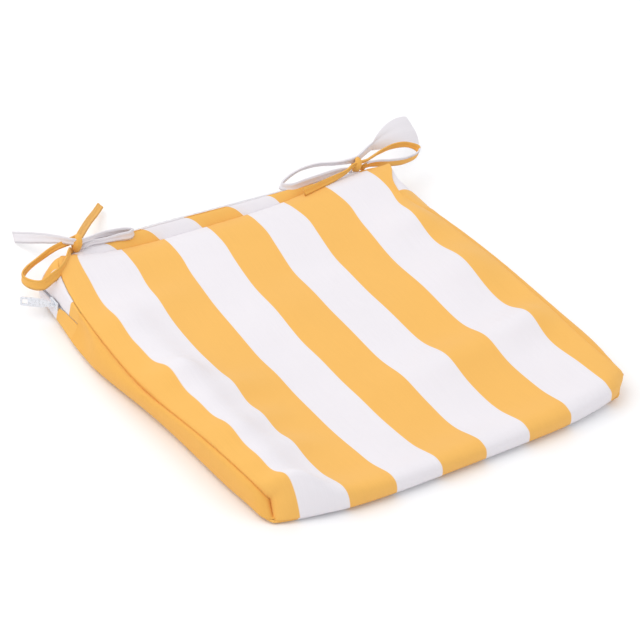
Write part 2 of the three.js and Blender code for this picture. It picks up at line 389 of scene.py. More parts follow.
@dataclass(frozen=True)
class WovenCotton:
    """Plain-weave cotton, plain or in stripes, drawn on the piece's own weave map."""

    name: str
    colour: tuple[float, float, float]
    second: tuple[float, float, float] | None = None
    stripe_start: float = FIRST_STRIPE
    thread: float = 0.0005
    weave_depth: float = 0.25
    thread_relief: float = 0.0002
    fibre_scale: float = 900.0
    cloud_scale: float = 14.0
    yarn_scale: tuple[float, float, float] = (1800.0, 22.0, 1.0)
    tone_range: tuple[float, float] = (0.965, 1.02)
    roughness: float = 0.86
    specular: float = 0.28
    sheen: float = 0.12
    sheen_roughness: float = 0.45

    def material(self) -> Material:
        """Builds the material."""
        net = NodeBoard(self.name)
        uv = net.add("UVMap", {}, uv_map="weave")["UV"]
        split = net.add("SeparateXYZ", {"Vector": uv})
        colour = self._stripes(net, split["X"]) if self.second else (*self.colour, 1)
        tint = net.add("Mix", {"Factor": 1.0, "A": colour, "B": self._tone(net, uv)},
                       data_type="RGBA", blend_type="MULTIPLY")
        return net.finish({
            "Base Color": tint["Result"], "Roughness": self.roughness, "Specular IOR Level": self.specular,
            "Sheen Weight": self.sheen, "Sheen Roughness": self.sheen_roughness,
            "Normal": self._threads(net, split, uv)})

    def _tone(self, net: NodeBoard, uv: Socket) -> Socket:
        """Slight unevenness of the dye: broad clouds and single thicker yarns.

        Args:
            net: the material.
            uv: the weave map.

        Returns:
            A factor for the colour.
        """
        cloud = net.add("TexNoise", {"Scale": self.cloud_scale, "Detail": 3.0, "Vector": uv})["Fac"]
        yarns = net.add("Mapping", {"Scale": self.yarn_scale, "Vector": uv})["Vector"]
        slub = net.add("TexNoise", {"Scale": 1.0, "Detail": 1.0, "Vector": yarns})["Fac"]
        both = net.add("Math", {0: cloud, 1: slub}, operation="ADD")[0]
        return net.add("MapRange", {
            "From Min": 0.5, "From Max": 1.5, "To Min": self.tone_range[0], "To Max": self.tone_range[1],
            "Value": both})["Result"]

    def _stripes(self, net: NodeBoard, across: Socket) -> Socket:
        """Woven stripes with an edge one thread soft.

        Args:
            net: the material.
            across: the weave map's place across the stripes.

        Returns:
            The colour.
        """
        shift = net.add("Math", {0: across, 1: 1.0 / STRIPE, 2: -self.stripe_start / STRIPE - 0.5},
                        operation="MULTIPLY_ADD")[0]
        fold = net.add("Math", {0: shift, 1: 1.0}, operation="PINGPONG")[0]
        edge = net.add("MapRange", {
            "From Min": 0.5 - PRINTED_EDGE, "From Max": 0.5 + PRINTED_EDGE, "Value": fold,
        }, interpolation_type="SMOOTHSTEP")["Result"]
        return net.add("Mix", {"A": (*self.second, 1), "B": (*self.colour, 1), "Factor": edge},
                       data_type="RGBA")["Result"]

    def _threads(self, net: NodeBoard, split: bpy.types.NodeOutputs, uv: Socket) -> Socket:
        """Bump of warp over weft, with finer fibre on top.

        Args:
            net: the material.
            split: the weave map's separate places.
            uv: the weave map.

        Returns:
            The normal.
        """
        warp, weft = (
            net.add("Math", {0: net.add("Math", {0: split[axis], 1: math.pi / self.thread, 2: phase},
                                        operation="MULTIPLY_ADD")[0]}, operation="SINE")[0]
            for axis, phase in (("X", 0.0), ("Y", math.pi / 2)))
        cross = net.add("Math", {0: warp, 1: weft}, operation="MULTIPLY")[0]
        fibre = net.add("TexNoise", {"Scale": self.fibre_scale, "Detail": 2.0, "Vector": uv})["Fac"]
        height = net.add("Math", {0: cross, 1: 0.5, 2: fibre}, operation="MULTIPLY_ADD")[0]
        return net.add("Bump", {
            "Strength": self.weave_depth, "Distance": self.thread_relief, "Height": height})["Normal"]


@dataclass(frozen=True)
class PlainFinish:
    """A finish on object coordinates: moulded nylon, enamel, foam or woven tape."""

    name: str
    colour: tuple[float, float, float]
    darker: tuple[float, float, float]
    roughness: float
    grain: float
    grain_depth: float
    metallic: float = 0.0
    coat: float = 0.0
    sheen: float = 0.0
    ribs: float = 0.0
    relief: float = 0.0003
    uneven: float = 0.06
    coat_roughness: float = 0.12

    def material(self) -> Material:
        """Builds the material."""
        net = NodeBoard(self.name)
        place = net.add("TexCoord", {})["Object"]
        noise = net.add("TexNoise", {"Scale": self.grain, "Detail": 4.0, "Vector": place})["Fac"]
        colour = net.add("Mix", {"A": (*self.darker, 1), "B": (*self.colour, 1), "Factor": noise},
                         data_type="RGBA")
        rough = net.add("MapRange", {
            "To Min": max(0.05, self.roughness - self.uneven),
            "To Max": min(1.0, self.roughness + self.uneven), "Value": noise})
        height = noise
        if self.ribs:
            rise = net.add("SeparateXYZ", {"Vector": place})["Z"]
            turn = net.add("Math", {0: rise, 1: math.tau / self.ribs}, operation="MULTIPLY")[0]
            wave = net.add("Math", {0: turn}, operation="SINE")[0]
            height = net.add("Math", {0: wave, 1: noise}, operation="ADD")[0]
        bump = net.add("Bump", {"Strength": self.grain_depth, "Distance": self.relief, "Height": height})
        return net.finish({
            "Base Color": colour["Result"], "Roughness": rough["Result"], "Metallic": self.metallic,
            "Coat Weight": self.coat, "Coat Roughness": self.coat_roughness, "Sheen Weight": self.sheen,
            "Normal": bump["Normal"]})


ORANGE_DYE = (0.865, 0.474, 0.114)
# Plain orange of the gussets and ties. It is a deeper dye than the stripes' orange, and it is also darkened a
# little as painted shade for the mild shadow on the gussets.
ORANGE_DEEP_DYE_AND_PAINTED_SHADE = (0.838, 0.440, 0.094)
WHITE_YARN = (0.810, 0.775, 0.805)
UPPER_STRIP_START = 0.0165    # where a stripe starts on the strip above the zip
LOWER_STRIP_START = 0.034     # and on the strip below it


@dataclass
class Workshop:
    """Every finish of the pad, made once."""

    striped: Material = field(init=False)
    upper_strip: Material = field(init=False)
    lower_strip: Material = field(init=False)
    orange: Material = field(init=False)
    white: Material = field(init=False)
    foam: Material = field(init=False)
    tape: Material = field(init=False)
    coil: Material = field(init=False)
    enamel: Material = field(init=False)
    floor: Material = field(init=False)

    def __post_init__(self) -> None:
        """Makes the materials."""
        self.striped = WovenCotton("striped cotton", ORANGE_DYE, WHITE_YARN).material()
        self.upper_strip = WovenCotton(
            "striped cotton, upper strip", ORANGE_DYE, WHITE_YARN, UPPER_STRIP_START).material()
        self.lower_strip = WovenCotton(
            "striped cotton, lower strip", ORANGE_DYE, WHITE_YARN, LOWER_STRIP_START).material()
        # The plain orange holds a little painted shade for the gussets' shadow.
        self.orange = WovenCotton("orange cotton, deep dye and painted shade", ORANGE_DEEP_DYE_AND_PAINTED_SHADE).material()
        self.white = WovenCotton("white cotton", WHITE_YARN).material()
        self.foam = PlainFinish("seat foam", (0.86, 0.80, 0.62), (0.74, 0.66, 0.46), 0.9, 700, 0.6).material()
        self.tape = PlainFinish(
            "zip tape", (0.84, 0.82, 0.87), (0.78, 0.76, 0.81), 0.7, 900, 0.4, sheen=0.1, ribs=0.0011,
        ).material()
        self.coil = PlainFinish(
            "zip coil nylon", (0.78, 0.77, 0.82), (0.70, 0.69, 0.75), 0.35, 400, 0.1).material()
        self.enamel = PlainFinish(
            "white enamel", (0.78, 0.81, 0.87), (0.72, 0.75, 0.81), 0.28, 420, 0.03, metallic=0.15, coat=0.5,
        ).material()
        self.floor = PlainFinish(
            "pale floor", (0.97, 0.97, 0.975), (0.96, 0.96, 0.965), 0.8, 6, 0.0).material()

    def cloth(self, cloth: Cloth) -> Material:
        """The material of a cloth."""
        return {Cloth.STRIPED: self.striped, Cloth.ORANGE: self.orange, Cloth.WHITE: self.white}[cloth]


# ---------------------------------------------------------------- camera and light

@dataclass
class Studio:
    """Camera, soft light and a pale floor."""

    azimuth: float = -38.68
    elevation: float = 34.23
    roll: float = 6.04
    distance: float = 2.0333
    target: Vector = field(default_factory=lambda: Vector((0.0139, 0.0421, 0.0)))
    lens: float = 123.75
    sensor: float = 36.0
    air: tuple[float, float, float, float] = (0.97, 0.98, 1.0, 1)
    air_strength: float = 0.80
    lamps: Sequence[tuple[str, Vector, float, float, tuple[float, float, float]]] = (
        ("window light", Vector((-1.5, 0.3, 2.2)), 2.2, 24.0, (1.0, 0.985, 0.96)),
        ("fill light", Vector((1.6, -1.6, 1.8)), 2.6, 9.0, (0.97, 0.98, 1.0)),
        ("back light", Vector((0.4, 2.0, 1.9)), 2.0, 8.0, (1.0, 1.0, 1.0)),
    )
    floor_size: float = 12.0
    floor_gap: float = 0.0002

    def camera(self) -> None:
        """Stands the camera at its viewing angle."""
        a, e, r = (math.radians(x) for x in (self.azimuth, self.elevation, self.roll))
        back = Vector((math.sin(a) * math.cos(e), -math.cos(a) * math.cos(e), math.sin(e)))
        level = Vector((math.cos(a), math.sin(a), 0.0))
        rise = back.cross(level)
        right = level * math.cos(r) + rise * math.sin(r)
        up = rise * math.cos(r) - level * math.sin(r)
        lens = bpy.data.cameras.new("camera")
        lens.lens = self.lens
        lens.sensor_width = self.sensor
        lens.clip_start, lens.clip_end = 0.05, 50.0
        cam = in_scene("camera", lens)
        turn = Matrix((right, up, back)).transposed().to_4x4()
        cam.matrix_world = Matrix.Translation(self.target + back * self.distance) @ turn
        bpy.context.scene.camera = cam

    def lights(self, shop: Workshop) -> None:
        """Lays the floor and hangs the soft lights."""
        scene = bpy.context.scene
        scene.view_settings.view_transform = "Standard"
        scene.view_settings.look = "None"
        world = bpy.data.worlds.new("studio air")
        world.use_nodes = True
        air = world.node_tree.nodes["Background"]
        air.inputs["Color"].default_value = self.air
        air.inputs["Strength"].default_value = self.air_strength
        scene.world = world
        for name, where, size, power, colour in self.lamps:
            lamp = bpy.data.lights.new(name, "AREA")
            lamp.shape = "DISK"
            lamp.size = size
            lamp.energy = power
            lamp.color = colour
            obj = in_scene(name, lamp)
            obj.location = where
            obj.rotation_mode = "QUATERNION"
            obj.rotation_quaternion = (where * -1).to_track_quat("-Z", "Y")
        bm = bmesh.new()
        bmesh.ops.create_grid(bm, x_segments=8, y_segments=8, size=self.floor_size)
        mesh = bpy.data.meshes.new("floor")
        bmesh.ops.translate(bm, verts=bm.verts, vec=(0, 0, -self.floor_gap))
        bm.to_mesh(mesh)
        bm.free()
        floor = in_scene("floor", mesh)
        mesh.materials.append(shop.floor)


# ---------------------------------------------------------------- the ties

@dataclass
class Strap:
    """One cotton tie: a folded, topstitched strap that stands on edge along a route.

    Route points are millimetres from the pad's back corner on the tie's side.
    """

    name: str
    side: Side
    cloth: Cloth
    route: Sequence[tuple[float, float, float]]
    lean: Sequence[float]
    spread: Sequence[float]
    width: float = 0.012
    thickness: float = 0.0017
    lining: tuple[float, float] = (0.0, 0.0)
    lining_band: tuple[float, float] = (0.36, 0.60)
    spacing: float = 0.0016
    gather: float = 0.6

    def along(self, values: Sequence[float], part: float) -> float:
        """Eased reading of evenly placed values, part of the way along the strap."""
        place = part * (len(values) - 1)
        k = min(len(values) - 2, int(place))
        return values[k] + (values[k + 1] - values[k]) * ease(place - k)

    def line(self) -> list[Vector]:
        """The strap's middle line in metres."""
        corner = Vector((self.side.value * HALF, HALF, 0.0))
        return smooth_route([corner + Vector(p) / 1000 for p in self.route], self.spacing)

    def section(self) -> list[tuple[float, float]]:
        """Half widths and heights of the folded strap, with its two rows of topstitching."""
        w, t = self.width / 2, self.thickness / 2
        face = [(-w * 0.94, t * 0.75), (-w * 0.72, t), (-w * 0.64, t * 0.55), (-w * 0.56, t),
                (-w * 0.2, t * 0.85), (0.0, t * 0.55), (w * 0.2, t * 0.85),
                (w * 0.56, t), (w * 0.64, t * 0.55), (w * 0.72, t), (w * 0.94, t * 0.75)]
        return [(-w, 0.0), *face, (w, 0.0), *[(x, -y) for x, y in reversed(face)]]

    def frames(self, line: Sequence[Vector]) -> list[Matrix]:
        """A frame at each sample: X along the strap's width, Y through it, Z along it."""
        out, count = [], len(line) - 1
        for i, here in enumerate(line):
            ahead = (line[min(count, i + 1)] - line[max(0, i - 1)]).normalized()
            tilt = math.radians(self.along(self.lean, i / count))
            wide = self.along(self.spread, i / count)
            through = ahead.cross(Vector((0, 0, 1)))
            if through.length < 1e-4:
                through = Vector((0, 1, 0))
            through.normalize()
            stand = through.cross(ahead).normalized()
            stand.rotate(Matrix.Rotation(tilt, 3, ahead))
            through = ahead.cross(stand).normalized()
            thick = 1 + self.gather * (1 - wide)
            frame = Matrix((stand * wide, through * thick, ahead)).transposed().to_4x4()
            out.append(Matrix.Translation(here) @ frame)
        return out

    def build(self, shop: Workshop) -> Piece:
        """Extrudes the section along the route.

        Args:
            shop: the finishes.

        Returns:
            The strap.
        """
        line = self.line()
        frames = self.frames(line)
        bm = bmesh.new()
        weave = bm.loops.layers.uv.new("weave")
        around = bm.verts.layers.float.new("around")
        far = bm.verts.layers.float.new("far")
        points = self.section()
        ring = [bm.verts.new(frames[0] @ Vector((x, y, 0.0))) for x, y in points]
        girth = 0.0
        for vert, a, b in zip(ring, points, [*points[1:], points[0]]):
            vert[around] = girth
            girth += math.hypot(b[0] - a[0], b[1] - a[1])
        bmesh.ops.contextual_create(bm, geom=ring)
        bm.faces.ensure_lookup_table()
        bm.faces[0].normal_flip()
        rings, edges = sweep(bm, frames)
        walked = 0.0
        for verts, a, b in zip(rings, line, line[1:]):
            walked += (b - a).length
            for vert in verts:
                vert[far] = walked
        bmesh.ops.contextual_create(bm, geom=edges)
        face_outwards(bm)
        for face in bm.faces:
            starts = min(loop.vert[around] for loop in face.loops)
            along = sum(loop.vert[far] for loop in face.loops) / len(face.loops) / walked
            in_band = self.lining_band[0] * girth < starts < self.lining_band[1] * girth
            if in_band and self.lining[0] < along < self.lining[1]:
                face.material_index = 1
            for loop in face.loops:
                turn = loop.vert[around]
                closes = max(other.vert[around] for other in face.loops) > girth / 2
                if turn == 0.0 and starts == 0.0 and closes:
                    turn = girth
                loop[weave].uv = (turn, loop.vert[far])
        piece = finished(self.name, bm, "pad")
        piece.data.materials.append(shop.cloth(self.cloth))
        if self.lining[1] > 0:
            piece.data.materials.append(shop.cloth(Cloth.WHITE))
        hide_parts(self.name)
        LOG.info("%s: %.0f mm long", self.name, route_length(line) * 1000)
        return piece

    def declare(self, piece: Piece, going: Sequence[Piece]) -> None:
        """Args:
            piece: the strap; not used.
            going: the pieces on it; not used.
        """
        line = self.line()


@dataclass
class KnotWrap:
    """The short turn of strap that holds a bow together."""

    name: str
    centre: Vector
    axis: Vector
    radii: tuple[float, float]
    width: float
    cloth: Cloth = Cloth.ORANGE
    thickness: float = 0.0017

    def build(self, shop: Workshop) -> Piece:
        """Spins a strap section into a closed, slightly flattened band.

        Args:
            shop: the finishes.

        Returns:
            The band.
        """
        bm = bmesh.new()
        weave = bm.loops.layers.uv.new("weave")
        bmesh.ops.create_cube(bm, size=1.0)
        bmesh.ops.scale(bm, vec=(self.thickness, 0.001, self.width), verts=bm.verts)
        ends = [f for f in bm.faces if abs(f.normal.y) > 0.9]
        bmesh.ops.delete(bm, geom=ends, context="FACES_ONLY")
        gone = [v for v in bm.verts if v.co.y > 0]
        bmesh.ops.delete(bm, geom=gone, context="VERTS")
        bmesh.ops.subdivide_edges(bm, edges=bm.edges, cuts=3, use_grid_fill=False)
        for vert in bm.verts:
            rounding = 1 - (vert.co.z / (self.width / 2)) ** 2
            vert.co.x *= 0.55 + 0.45 * rounding
            vert.co.x += 0.0011 * rounding
        bmesh.ops.translate(bm, verts=bm.verts, vec=(self.radii[0], 0, 0))
        bmesh.ops.spin(bm, geom=bm.verts[:] + bm.edges[:], cent=(0, 0, 0), axis=(0, 0, 1), dvec=(0, 0, 0),
                       angle=math.tau, steps=28, use_merge=True, use_duplicate=False)
        bmesh.ops.remove_doubles(bm, verts=bm.verts, dist=1e-6)
        face_outwards(bm)
        for vert in bm.verts:
            angle = math.atan2(vert.co.y, vert.co.x)
            vert.co.z *= 0.84 + 0.16 * math.cos(2 * angle + 0.7)
            vert.co.z += 0.0010 * math.sin(angle + 0.4)
        bmesh.ops.scale(bm, vec=(1.0, self.radii[1] / self.radii[0], 1.0), verts=bm.verts)
        for face in bm.faces:
            for loop in face.loops:
                angle = math.atan2(loop.vert.co.y, loop.vert.co.x)
                loop[weave].uv = (loop.vert.co.z, angle * self.radii[0])
        turn = self.axis.normalized().to_track_quat("Z", "Y").to_matrix().to_4x4()
        bmesh.ops.transform(bm, matrix=Matrix.Translation(self.centre) @ turn, verts=bm.verts)
        piece = finished(self.name, bm, "pad")
        piece.data.materials.append(shop.cloth(self.cloth))
        fine = piece.modifiers.new("fine surface", "SUBSURF")
        fine.levels = fine.render_levels = 1
        return piece


@dataclass
class OpenEnd:
    """The end of the right white tie, where its folded strip has come open into a broad flap."""

    start: tuple[float, float, float] = (5, 26.5, 38.5)
    upper: tuple[float, float, float] = (84, 72, 31)
    lower: tuple[float, float, float] = (89, 51, 3.5)
    start_width: float = 0.0085

    def build(self, shop: Workshop) -> Piece:
        """Lays the flap between its root and its cut end.

        Args:
            shop: the finishes.

        Returns:
            The flap.
        """
        corner = Vector((HALF, HALF, 0.0))
        root = corner + Vector(self.start) / 1000
        top, low = (corner + Vector(p) / 1000 for p in (self.upper, self.lower))
        ahead = (top + low) / 2 - root

        def place(u: float, v: float) -> Placed:
            """u runs along the flap from 0 to 1, v over its width from 0 to 1."""
            high = root + Vector((0, 0, self.start_width / 2))
            deep = root - Vector((0, 0, self.start_width / 2))
            open_up = ease(u * 1.05) * 0.35 + u * 0.65
            a = high.lerp(top, open_up) + Vector((0, 0.006, 0.004)) * math.sin(math.pi * u)
            b = deep.lerp(low, open_up) + Vector((0.002, -0.004, 0.003)) * math.sin(math.pi * u)
            point = b.lerp(a, v)
            outward = ahead.cross(Vector((0, 0, 1))).normalized()
            curl = 0.0045 * math.sin(math.pi * v) * ease(u * 1.6)
            crease = 0.0016 * swell((v - 0.72) / 0.06) * (1 - 0.6 * u)
            return point + outward * (curl - crease), (v * 0.034, u * 0.1)

        steps_u = [i / 36 for i in range(37)]
        steps_v = [i / 14 for i in range(15)]
        piece = cloth_panel("right_tie_open_end", steps_u, steps_v, place)
        piece.data.materials.append(shop.white)
        add_wall(piece, CLOTH_THICKNESS, 1, 0.0)
        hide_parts("right_tie_open_end")
        LOG.info("open end: laid")
        return piece


@dataclass
class Bows:
    """Both pairs of ties with their knots."""

    straps: list[Strap] = field(default_factory=lambda: [
        Strap("left_tie_orange", Side.LEFT, Cloth.ORANGE, [
            (42, 3, 32), (40, 2, 37), (36, -4, 39.5), (27, -16, 40), (14, -28, 40), (1, -33, 38.5),
            (-8, -32, 33.5), (-15, -22, 31), (-15, -8, 29.5), (-6, 1, 30), (11, 8, 32.5), (28, 10, 38),
            (42, 7, 43), (52, 8, 44), (58, 14, 42.5), (71, 30, 35.5), (92.5, 56, 24), (113, 79, 14),
            (130, 98, 7)],
            lean=(0, 30, 15, 0, 0, 0, -25, -50, -55, -55, -55, -55, -55),
            spread=(0.42, 0.60, 0.85, 0.9, 0.75, 0.5, 0.5, 0.62, 0.62, 0.62, 0.62, 0.62, 0.62)),
        Strap("left_tie_white", Side.LEFT, Cloth.WHITE, [
            (52, 3, 32), (54, 2, 37), (62, 2, 38.5), (74, 1, 38), (90, 0, 37.5), (103, -1, 37),
            (108, 2.5, 37), (101, 6, 38), (87, 7, 39.5), (73, 5.5, 41.5), (56, 2, 43.5), (48, 1.5, 44),
            (41, 2.5, 46), (37, 7, 46), (35, 15, 43), (33, 28, 37), (31, 47, 27.5), (29, 68, 16.5),
            (28, 86, 7)],
            lean=(0, -10, -10, 0, 0, 0, 0, 0, 0), spread=(0.36, 0.45, 0.75, 0.62, 0.42, 0.66, 0.9, 1.0, 1.0)),
        Strap("right_tie_orange", Side.RIGHT, Cloth.ORANGE, [
            (-25, 3, 32), (-23, 2, 36), (-16, 2, 37), (-6, 2, 35.5), (9, 1, 32.5), (28, 0, 30.5),
            (46, 3, 31.5), (52, 10, 33), (44, 18, 35.5), (28, 20, 37), (8, 15, 38.5), (-8, 8, 40.5),
            (-20, 2.5, 42),
            (-31, 1.5, 42.5), (-40, -0.5, 42), (-49, -3.5, 40), (-61, -5.5, 38.5), (-80, -8, 37),
            (-106, -12.5, 36.5)],
            lean=(0, 20, 25, 5, -25, -35, -10, 20, 30),
            spread=(0.4, 0.9, 1.1, 0.5, 0.62, 0.3, 0.42, 0.6, 0.68),
            lining=(0.03, 0.315)),
        Strap("right_tie_white", Side.RIGHT, Cloth.WHITE, [
            (-38, 3, 32), (-40, 2, 36), (-48, 3, 37.5), (-67, 3.5, 37), (-93, 3.5, 35.5), (-110, 4, 34.5),
            (-117, 11, 34), (-103, 21, 34), (-83, 26, 36), (-66, 22, 39), (-50, 13, 41), (-39, 8, 43),
            (-29, 7.5, 43.5), (-20, 11, 44), (-8, 18, 43), (5, 26.5, 39.5)],
            lean=(0, 10, 10, 20, 38, 30, 0, 0), spread=(0.4, 0.7, 0.75, 0.6, 0.6, 0.5, 0.6, 0.7)),
    ])
    knots: list[KnotWrap] = field(default_factory=lambda: [
        KnotWrap("left_knot_wrap", Vector((-0.1515, 0.2045, 0.0405)), Vector((0.92, -0.35, 0.0)),
                 radii=(0.0056, 0.0072), width=0.0085),
        KnotWrap("right_knot_wrap", Vector((0.1690, 0.2040, 0.0390)), Vector((0.95, -0.30, 0.0)),
                 radii=(0.0050, 0.0062), width=0.0078),
    ])
    open_end: OpenEnd = field(default_factory=OpenEnd)

    def build(self, shop: Workshop) -> list[Piece]:
        """Builds every tie.

        Args:
            shop: the finishes.

        Returns:
            The pieces of both bows.
        """
        made = {strap.name: strap.build(shop) for strap in self.straps}
        wraps = [knot.build(shop) for knot in self.knots]
        flap = self.open_end.build(shop)
        going = {"left_tie_orange": [wraps[0]], "right_tie_orange": [wraps[1]], "right_tie_white": [flap]}
        for strap in self.straps:
            strap.declare(made[strap.name], going.get(strap.name, []))
        return [*made.values(), *wraps, flap]


# ---------------------------------------------------------------- the pad's form

@dataclass(frozen=True)
class Hump:
    """A soft hump along one way of the cloth, by its middle and its reach."""

    middle: float
    reach: float

    def at(self, x: float) -> float:
        """Its strength at a place."""
        return swell((x - self.middle) / self.reach)


@dataclass(frozen=True)
class Ramp:
    """An eased step along one way of the cloth; a negative length rises towards lower places."""

    start: float
    length: float

    def at(self, x: float) -> float:
        """Its strength at a place."""
        return ease((x - self.start) / self.length)


@dataclass(frozen=True)
class Within:
    """Full strength over the pad, dying away by its edges; a higher power keeps closer to them."""

    power: float

    def at(self, x: float) -> float:
        """Its strength at a place."""
        return 1 - abs(x / HALF) ** self.power


@dataclass(frozen=True)
class Drift:
    """One soft move of the cloth: its size, and its strength across and along the pad."""

    size: float
    across: Hump | Ramp | Within
    along: Hump | Ramp | Within


def drifted(drifts: Sequence[Drift], u: float, v: float) -> float:
    """The sum of soft moves at a place of the flat cloth."""
    return sum(d.size * d.across.at(u) * d.along.at(v) for d in drifts)


FRONT_SEAM = Ramp(-0.180, -0.020)
RIGHT_SEAM = Ramp(0.150, 0.050)
BACK_RIGHT = Hump(0.125, 0.050), Ramp(0.150, 0.050)
FRONT_TUCK = Ramp(0.165, 0.035), Ramp(-0.130, -0.070)
TOP_SIDEWAYS = (
    Drift(-0.005, Ramp(-0.160, -0.040), Hump(0.020, 0.090)), Drift(-0.0042, RIGHT_SEAM, Ramp(0.188, -0.020)),
    Drift(-0.0125, RIGHT_SEAM, Ramp(0.020, -0.200)), Drift(-0.0165, RIGHT_SEAM, Hump(0.147, 0.040)),
    Drift(-0.007, Hump(0.080, 0.045), Ramp(0.140, 0.060)),
    Drift(0.003, Hump(0.155, 0.030), Ramp(0.110, -0.060)),
    Drift(0.007, Hump(0.150, 0.040), Hump(0.165, 0.035)), Drift(0.0005, Within(8), FRONT_SEAM),
    Drift(-0.0075, Within(8), Ramp(0.145, 0.050)),
)
TOP_BACKWARDS = Drift(0.006, *BACK_RIGHT), Drift(-0.006, Within(4), Ramp(0.140, 0.060))
TOP_UPWARDS = (
    Drift(0.002, *BACK_RIGHT), Drift(0.0020, Within(8), Hump(0.170, 0.030)),
    Drift(-0.0035, Within(8), Ramp(0.180, 0.020)), Drift(-0.007, Ramp(-0.150, -0.050), Hump(0.005, 0.070)),
)
BOTTOM_SIDEWAYS = (
    Drift(-0.012, Ramp(-0.120, -0.080), Hump(0.085, 0.075)),
    Drift(0.003, Ramp(0.120, 0.080), Hump(0.080, 0.100)),
    Drift(0.004, Within(8), FRONT_SEAM), Drift(0.008, Hump(0.162, 0.035), FRONT_SEAM),
    Drift(-0.031, *FRONT_TUCK), Drift(-0.007, Ramp(-0.175, -0.025), Ramp(-0.150, -0.050)),
)
BOTTOM_BACKWARDS = Drift(0.003, Hump(0.165, 0.040), FRONT_SEAM), Drift(-0.016, *FRONT_TUCK)
FOLDS = tuple(
    Drift(height, Hump(across, wide), Hump(along, long))
    for across, along, wide, long, height in (
        # the roll of cloth along the left seam
        (-0.172, -0.185, 0.026, 0.022, 0.021), (-0.172, -0.140, 0.026, 0.024, 0.014),
        (-0.172, -0.095, 0.026, 0.024, 0.020), (-0.172, -0.050, 0.026, 0.024, 0.015),
        (-0.172, -0.005, 0.026, 0.024, 0.024), (-0.172, 0.040, 0.026, 0.024, 0.010),
        (-0.172, 0.085, 0.026, 0.024, 0.011),
        # its ripples towards the middle
        (-0.135, -0.120, 0.030, 0.016, 0.006), (-0.135, -0.075, 0.030, 0.016, 0.006),
        (-0.130, -0.030, 0.030, 0.016, 0.006), (-0.130, 0.105, 0.030, 0.018, 0.003),
        # crests and hollows of the middle
        (-0.100, 0.140, 0.050, 0.024, -0.002), (0.060, -0.085, 0.060, 0.026, 0.011),
        (-0.060, -0.120, 0.040, 0.026, -0.003), (-0.030, 0.048, 0.050, 0.024, 0.003),
        (-0.060, 0.000, 0.040, 0.022, -0.004), (0.030, 0.095, 0.050, 0.022, -0.003),
        (0.020, -0.150, 0.070, 0.020, -0.003),
        # the roll along the right seam
        (0.150, -0.080, 0.040, 0.022, 0.013), (0.155, 0.020, 0.040, 0.034, 0.012),
        (0.155, 0.100, 0.040, 0.028, 0.013), (0.155, -0.160, 0.030, 0.030, 0.003),
    ))


